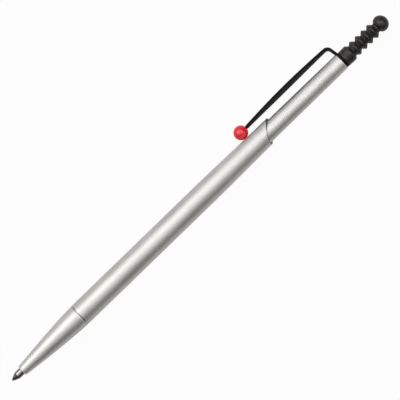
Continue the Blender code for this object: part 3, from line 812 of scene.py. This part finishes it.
def make_spring():
    """The return spring, wound from one wire, with a closed turn at each end."""
    mesh = bmesh.new()
    circle = {"cap_ends": True, "radius": SPRING_WIRE_R, "segments": SPRING_WIRE_STEPS}
    ring = bmesh.ops.create_circle(mesh, **circle)["verts"]
    bmesh.ops.translate(mesh, verts=ring, vec=(SPRING_COIL_R, SPRING_AT + SPRING_WIRE_R, 0))
    swap = Matrix(((0, 1, 0), (1, 0, 0), (0, 0, 1)))
    bmesh.ops.rotate(mesh, verts=ring, cent=(0, 0, 0), matrix=swap)
    section = mesh.faces[:]
    for turns, pitch in SPRING_WINDING:
        section = [
            item
            for item in bmesh.ops.spin(
                mesh, geom=section, cent=(0, 0, 0), axis=(1, 0, 0), angle=2 * math.pi * turns,
                dvec=(pitch / SMALL_STEPS, 0, 0), steps=SMALL_STEPS * turns, use_merge=False,
            )["geom_last"]
            if isinstance(item, bmesh.types.BMFace)
        ]
    bmesh.ops.recalc_face_normals(mesh, faces=mesh.faces)
    spring = piece("return_spring_wire", mesh, [PLAIN_STEEL])
    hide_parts("return_spring")
    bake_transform(spring)


def dress_inner_parts():
    """The frame's own solids that stay as they are get their finishes."""
    finishes = {
        BRASS: ("thread_bush", "mechanism_housing", "spring_seat", "refill_tube", "end_bush"),
        ACETAL: ("twist_bearing", "refill_carrier", "cam_spindle"),
        PLAIN_STEEL: ("drive_pin",),
        RUBBER: ("thrust_washer",),
        INK: ("ink_column",),
    }
    for finish, names in finishes.items():
        for name in names:
            nodes[name].data.materials.clear()
            nodes[name].data.materials.append(finish)


def lamp(name, side, lean, across, along, brightness, shift=0.0):
    """A soft lamp aimed at the pen. Side is its turn about Z from +Y and lean its angle from the vertical.

    Across and along are half the angles that it fills, and a mirror shows it at its brightness, 1 for white.
    Shift moves it towards the writing point.
    """
    data = bpy.data.lights.new(name, "AREA")
    data.shape = "RECTANGLE"
    data.size = 2 * LAMP_DISTANCE * math.tan(math.radians(along))
    data.size_y = 2 * LAMP_DISTANCE * math.tan(math.radians(across))
    data.energy = brightness * math.pi * data.size * data.size_y
    made = bpy.data.objects.new(name, data)
    bpy.context.scene.collection.objects.link(made)
    turn = Matrix.Rotation(math.radians(side), 4, "Z") @ Matrix.Rotation(math.radians(-lean), 4, "X")
    made.matrix_world = turn @ Matrix.Translation((-shift, 0, LAMP_DISTANCE))


def make_floor():
    """A pale floor that the camera, metal and glass see as white, with the pen's soft shadow on it."""
    finish = Finish("white_floor")
    paper = finish.noise(scale=40)
    colour = finish.tint(paper, (0.61, 0.61, 0.61), (0.63, 0.63, 0.63))
    finish.surface(base_color=colour, roughness=0.9)
    path = finish.tree.nodes.new("ShaderNodeLightPath")
    seen = Signal(finish, path.outputs["Is Camera Ray"])
    for ray in ("Is Glossy Ray", "Is Transmission Ray"):
        seen = seen + Signal(finish, path.outputs[ray]) * MIRRORED_SHARE
    glow = finish.node("Emission", {}, {"Strength": 1.0})
    body = Signal(finish, finish.shader.outputs[0])
    both = finish.node("MixShader", {}, {0: seen * FLOOR_GLOW, 1: body, 2: glow})
    finish.tree.links.new(both.socket, finish.tree.nodes["Material Output"].inputs["Surface"])
    mesh = bmesh.new()
    bmesh.ops.create_grid(mesh, x_segments=2, y_segments=2, size=FLOOR_HALF)
    bmesh.ops.translate(mesh, verts=mesh.verts, vec=(0, 0, -FLOOR_DROP))
    piece("floor", mesh, [finish.material], Matrix.Identity(4))


def make_camera():
    """Straight above the pen, as far away and turned as the photograph was taken."""
    data = bpy.data.cameras.new("camera")
    data.lens = CAMERA_LENS
    data.sensor_width = 36
    data.clip_start = 0.01
    camera = bpy.data.objects.new("camera", data)
    camera.location = (0, AXIS.y - CAMERA_SIDE, CAMERA_HEIGHT)
    camera.rotation_euler = (0, 0, CAMERA_TURN)
    bpy.context.scene.collection.objects.link(camera)
    bpy.context.scene.camera = camera


def make_light():
    """A dim, warm world, four soft boxes along the pen and two small keys."""
    world = bpy.data.worlds.new("studio")
    world.use_nodes = True
    sky = world.node_tree.nodes["Background"]
    sky.inputs["Color"].default_value = (1, 0.88, 0.8, 1)
    sky.inputs["Strength"].default_value = 0.1
    bpy.context.scene.world = world
    lamp("broad_softbox", side=0, lean=30, across=36, along=50, brightness=0.92, shift=0.45)
    lamp("overhead_softbox", side=0, lean=-18, across=14, along=43, brightness=0.55, shift=0.1)
    lamp("far_softbox", side=0, lean=-46, across=14, along=30, brightness=0.9, shift=-0.8)
    lamp("low_softbox", side=0, lean=72, across=10, along=43, brightness=0.6, shift=0.34)
    lamp("left_key", side=28, lean=40, across=17, along=15, brightness=2.3)
    lamp("right_key", side=-82, lean=27, across=14, along=14, brightness=2.4)


make_nose()
make_point()
make_lower_barrel()
make_upper_barrel()
make_end_plug()
make_knob()
make_clip()
make_clip_ball()
make_spring()
dress_inner_parts()
make_floor()
make_camera()
make_light()
bpy.context.scene.view_settings.view_transform = "Standard"
